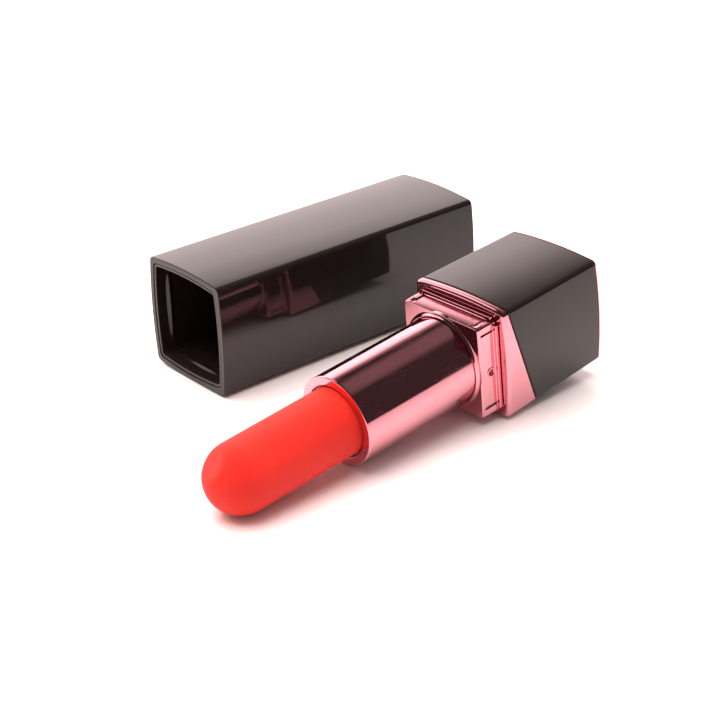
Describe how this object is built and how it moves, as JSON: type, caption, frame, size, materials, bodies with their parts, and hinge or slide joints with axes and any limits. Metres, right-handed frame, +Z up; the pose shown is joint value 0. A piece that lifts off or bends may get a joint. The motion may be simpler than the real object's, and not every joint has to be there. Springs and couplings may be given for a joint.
{
  "type": "lipstick case",
  "caption": "Square swivel lipstick case with its cap off: glossy black cap and base sleeve, pink metal collar and tube, red bullet raised.",
  "frame": {"origin": "centre of the footprint, on the surface the two halves lie on", "axes": "+Z up; X along the cap's own axis, its closed end towards +X and its mouth towards -X; the base unit lies on the -Y side"},
  "size_m": [0.0852, 0.061, 0.023],
  "materials": {
    "pink_metal": "mirror polished, pink anodised",
    "black_gloss": "high gloss, warm black",
    "dark_plastic": "satin black moulding",
    "white_plastic": "satin moulding",
    "red_wax": "soft matte wax"
  },
  "bodies": {
    "base": {"base_core": "pink_metal", "base_sleeve": "black_gloss", "base_plate": "pink_metal", "guide_tube": "white_plastic"},
    "tube": {"collar": "pink_metal", "outer_tube": "pink_metal", "spiral_sleeve": "dark_plastic"},
    "lift": {"cup": "white_plastic", "bullet": "red_wax"},
    "cap": {"cap_shell": "black_gloss", "cap_liner": "dark_plastic"}
  },
  "joints": [
    {"name": "tube_turn", "type": "hinge", "parent": "base", "child": "tube", "pos_m": [0.01257, -0.01994, 0.0106], "axis": [-0.9941, -0.0564, -0.0925], "range_deg": [0, 540]},
    {"name": "bullet_lower", "type": "slide", "parent": "base", "child": "lift", "axis": [0.9941, 0.0564, 0.0925], "range_m": [0, 0.027]},
    {"name": "cap_off", "type": "slide", "parent": "base", "child": "cap", "axis": [1, 0, 0], "range_m": [0, 0.07]}
  ],
  "couplings": [
    {"joint": "bullet_lower", "follows": "tube_turn", "m_per_rad": 0.0028647}
  ]
}
